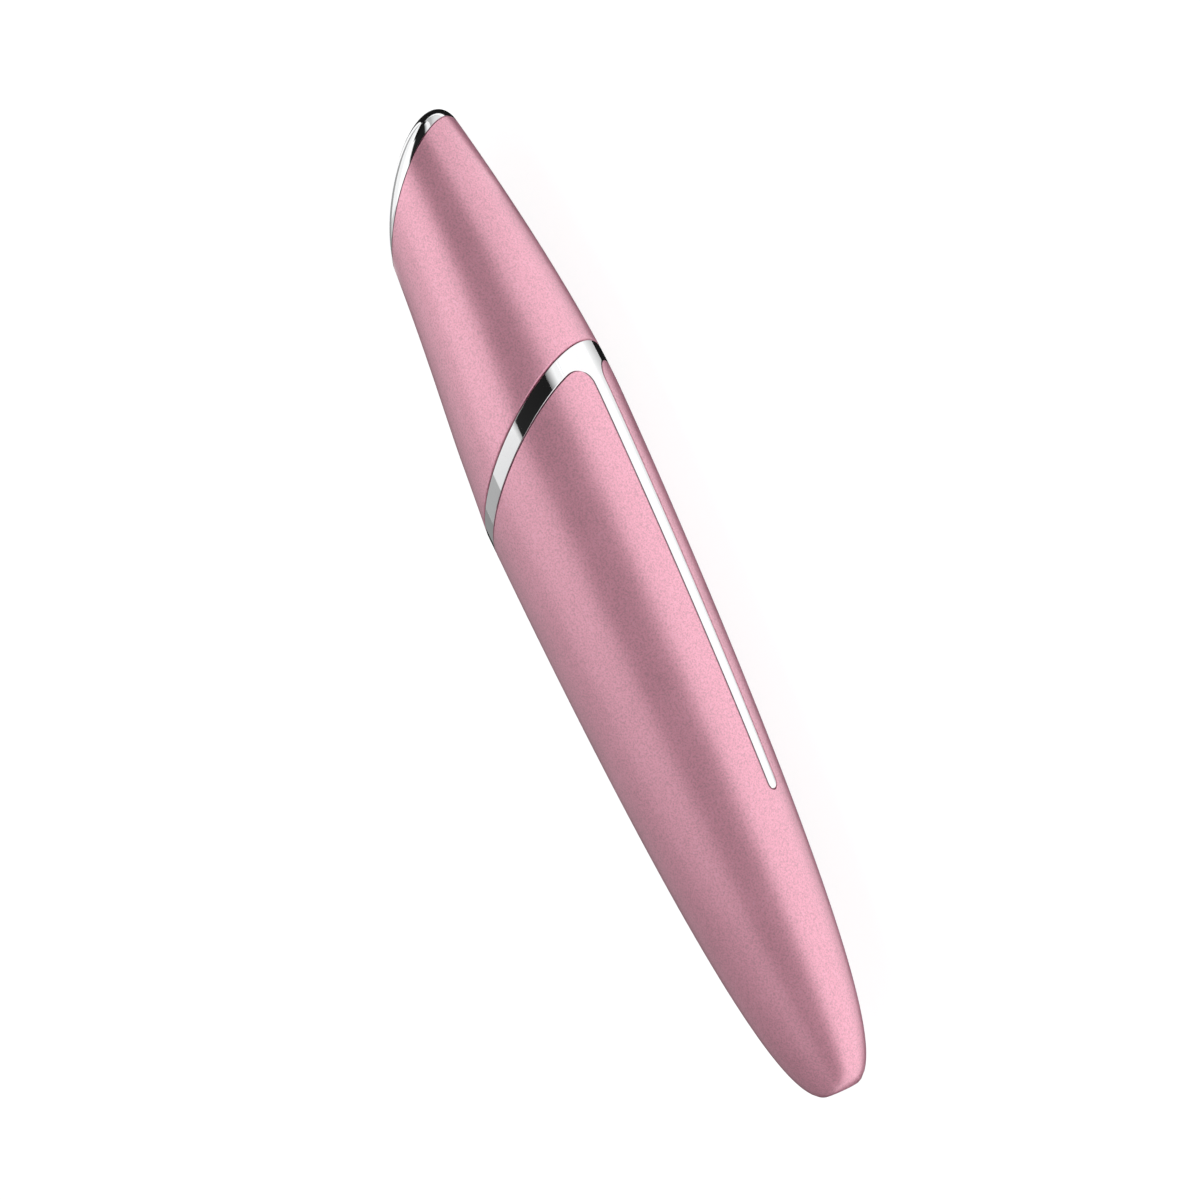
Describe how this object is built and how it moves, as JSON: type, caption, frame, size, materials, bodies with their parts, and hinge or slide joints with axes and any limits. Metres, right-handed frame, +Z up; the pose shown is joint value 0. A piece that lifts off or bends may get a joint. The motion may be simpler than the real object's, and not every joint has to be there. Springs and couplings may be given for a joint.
{
  "type": "heated eye massager wand",
  "caption": "Slim round massager wand with a slanted, heated metal tip plate, a chrome trim ring with a long inlaid strip, a push button and a pin charging socket in the tail.",
  "frame": {"origin": "middle of the underside of the box, on the surface that the wand lies on", "axes": "+X along the wand's axis towards the slanted tip plate; +Y towards the push button, -Y towards the inlaid strip; +Z up. The wand lies on its flank."},
  "size_m": [0.1378, 0.0237, 0.0238],
  "materials": {
    "pink_shell": "satin",
    "plated_trim": "polished",
    "plated_plate": "polished",
    "silicone": "matte",
    "heatproof_plastic": "matte",
    "heater_foil": "satin",
    "bead": "gloss",
    "neck_plastic": "matte",
    "chassis_plastic": "matte",
    "steel": "satin",
    "board_resin": "satin",
    "chip_plastic": "matte",
    "plunger_plastic": "satin",
    "light_guide": "gloss",
    "lamp_resin": "gloss",
    "cell_can": "satin",
    "foam": "matte",
    "motor_steel": "satin",
    "weight_metal": "satin",
    "motor_rubber": "matte",
    "socket_plastic": "satin",
    "tinned_brass": "satin",
    "red_lead": "satin",
    "blue_lead": "satin",
    "grey_lead": "satin"
  },
  "bodies": {
    "wand": {"handle_shell": "pink_shell", "head_shell": "pink_shell", "chrome_trim": "plated_trim", "treatment_plate": "plated_plate", "plate_gasket": "silicone", "plate_carrier": "heatproof_plastic", "heater_film": "heater_foil", "thermistor": "bead", "neck_sleeve": "neck_plastic", "chassis": "chassis_plastic", "neck_screws": "steel", "button_surround": "silicone", "switch_body": "chip_plastic", "indicator_lens": "light_guide", "indicator_led": "lamp_resin", "circuit_board": "board_resin", "board_parts": "chip_plastic", "battery_cell": "cell_can", "battery_tabs": "steel", "battery_pad": "foam", "motor_can": "motor_steel", "motor_end_cap": "chip_plastic", "motor_sleeve": "motor_rubber", "charging_socket": "socket_plastic", "socket_terminals": "tinned_brass", "heater_leads": "red_lead", "motor_leads": "blue_lead", "battery_leads": "red_lead", "socket_leads": "grey_lead"},
    "button": {"power_button": "plated_trim"},
    "plunger": {"switch_plunger": "plunger_plastic"},
    "rotor": {"motor_shaft": "steel", "motor_weight": "weight_metal"}
  },
  "joints": [
    {"name": "power_button_slide", "type": "slide", "parent": "wand", "child": "button", "axis": [0, -1, 0], "range_m": [0, 0.0004], "stiffness_N_per_m": 2500, "springref_m": -0.0004},
    {"name": "switch_plunger_slide", "type": "slide", "parent": "wand", "child": "plunger", "axis": [0, -1, 0], "range_m": [0, 0.0004]},
    {"name": "motor_spin", "type": "hinge", "parent": "wand", "child": "rotor", "pos_m": [0.0271, 0, 0.01193], "axis": [1, 0, 0], "continuous": true}
  ],
  "couplings": [
    {"joint": "switch_plunger_slide", "follows": "power_button_slide", "ratio": 1}
  ]
}
